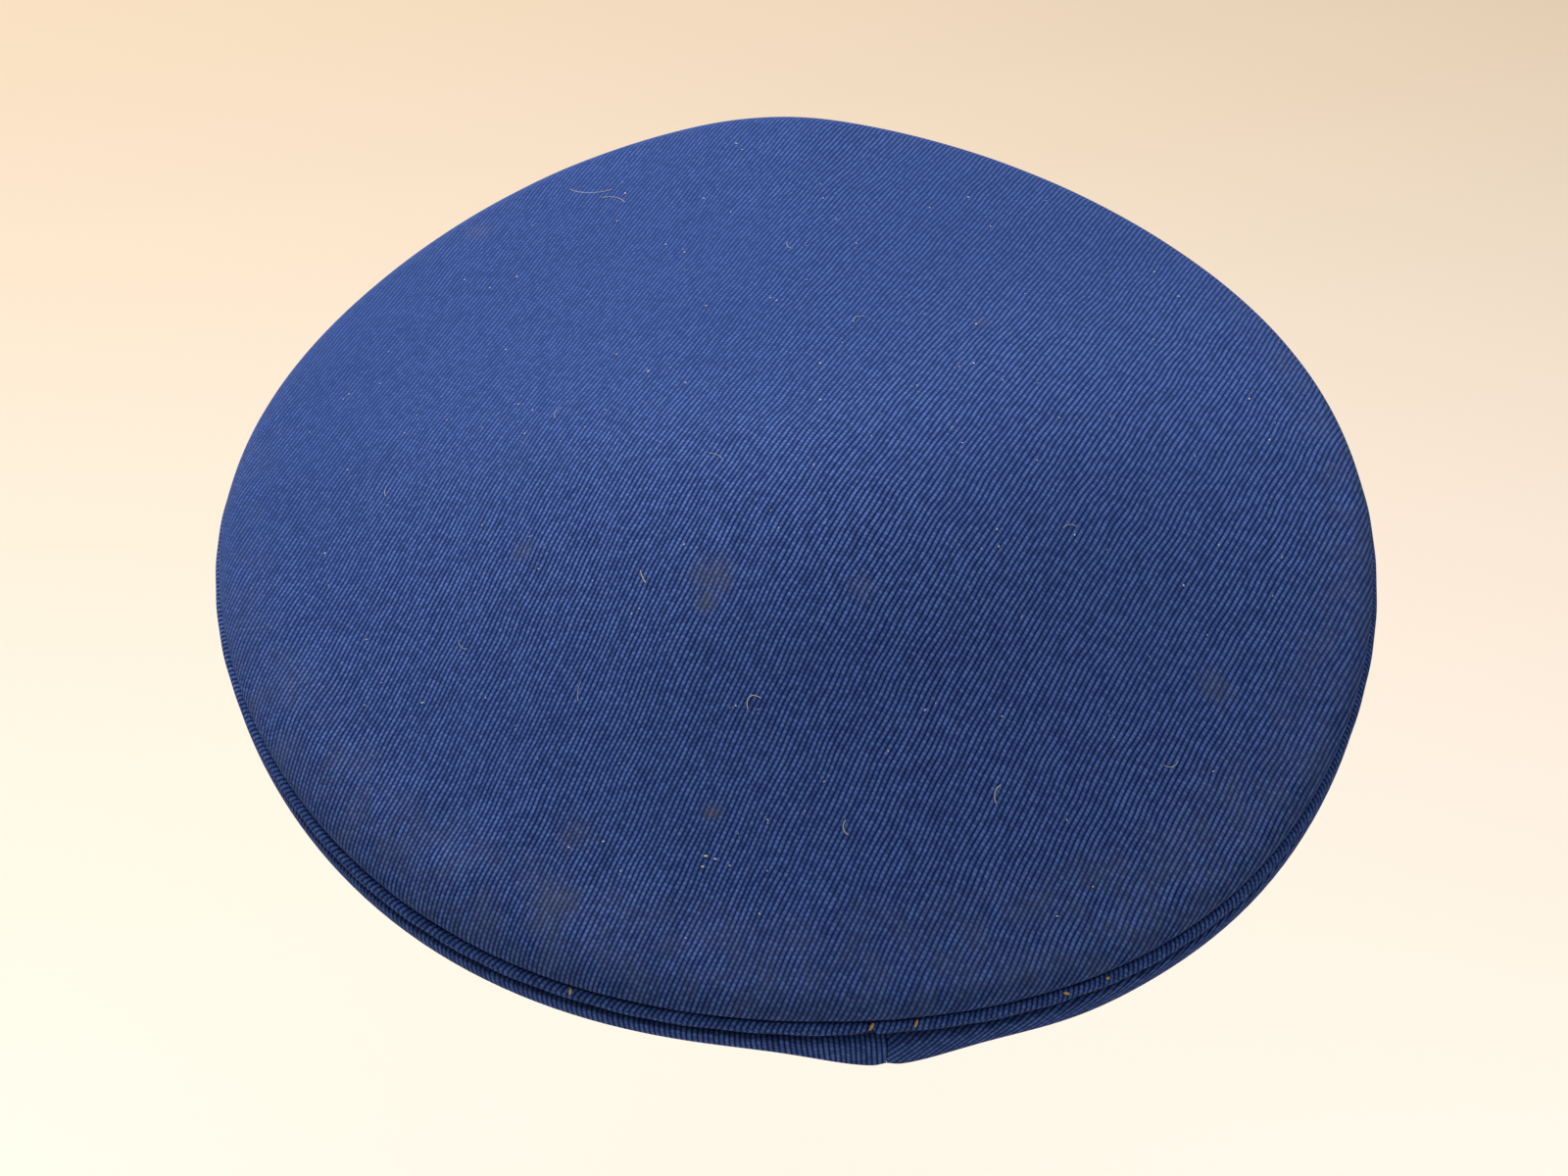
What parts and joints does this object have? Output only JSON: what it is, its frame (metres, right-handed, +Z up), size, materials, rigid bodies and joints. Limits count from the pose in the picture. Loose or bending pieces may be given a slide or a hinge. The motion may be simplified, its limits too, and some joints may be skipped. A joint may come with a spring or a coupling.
{
  "type": "peaked uniform cap",
  "caption": "Peaked uniform cap: wide wired crown with a piped edge, four quarters, stiff band, visor and a chin strap on side buttons.",
  "frame": {"origin": "centre of the head opening, on the lower edge of the band", "axes": "+Z up as worn, -Y towards the visor (front), +X towards the wearer's left"},
  "size_m": [0.2802, 0.2891, 0.1305],
  "materials": {
    "crown_twill": "royal-blue steep twill",
    "canvas": "unbleached canvas",
    "wadding": "soft felted",
    "spring_steel": "drawn wire",
    "fibre": "vulcanised fibre board, matt",
    "leather": "tan, semi-matt",
    "reed": "plain extruded",
    "lining": "grey satin",
    "shield": "clear film",
    "label": "blank woven tape",
    "lacquer": "black lacquered",
    "visor_cloth": "dark green underside cloth",
    "brass": "polished"
  },
  "bodies": {
    "root": {"crown_top": "crown_twill", "crown_interlining": "canvas", "edge_roll": "wadding", "crown_wire": "spring_steel", "wire_ferrule": "spring_steel", "crown_piping": "crown_twill", "front_left_quarter": "crown_twill", "front_right_quarter": "crown_twill", "rear_left_quarter": "crown_twill", "rear_right_quarter": "crown_twill", "front_stay": "fibre", "front_stay_spring": "spring_steel", "lining_top": "lining", "lining_side": "lining", "sweat_shield": "shield", "cap_band": "crown_twill", "band_top_piping": "crown_twill", "band_stiffener": "fibre", "sweatband": "leather", "sweatband_reed": "reed", "sweatband_bow": "leather", "size_tag": "label", "visor_shell": "lacquer", "visor_lining": "visor_cloth", "visor_binding": "lacquer", "left_washer": "spring_steel", "right_washer": "spring_steel"},
    "chin_strap": {"strap_left": "lacquer", "strap_right": "lacquer"},
    "left_slider_body": {"left_slider": "brass"},
    "right_slider_body": {"right_slider": "brass"},
    "left_button_body": {"left_button": "brass", "left_split_pin": "spring_steel"},
    "right_button_body": {"right_button": "brass", "right_split_pin": "spring_steel"}
  },
  "joints": [
    {"name": "strap_lift", "type": "hinge", "parent": "root", "child": "chin_strap", "pos_m": [0, -0.03632, 0.012], "axis": [-1, 0, 0], "range_deg": [0, 5]},
    {"name": "left_slider_travel", "type": "hinge", "parent": "chin_strap", "child": "left_slider_body", "pos_m": [-0.00894, -0.01577, 0.012], "axis": [0, 0, 1], "range_deg": [-7, 7]},
    {"name": "right_slider_travel", "type": "hinge", "parent": "chin_strap", "child": "right_slider_body", "pos_m": [0.00894, -0.01577, 0.012], "axis": [0, 0, 1], "range_deg": [-7, 7]},
    {"name": "left_button_turn", "type": "hinge", "parent": "root", "child": "left_button_body", "pos_m": [0.08335, -0.03632, 0.012], "axis": [0.9568, -0.2909, 0], "continuous": true},
    {"name": "right_button_turn", "type": "hinge", "parent": "root", "child": "right_button_body", "pos_m": [-0.08335, -0.03632, 0.012], "axis": [-0.9568, -0.2909, 0], "continuous": true}
  ]
}
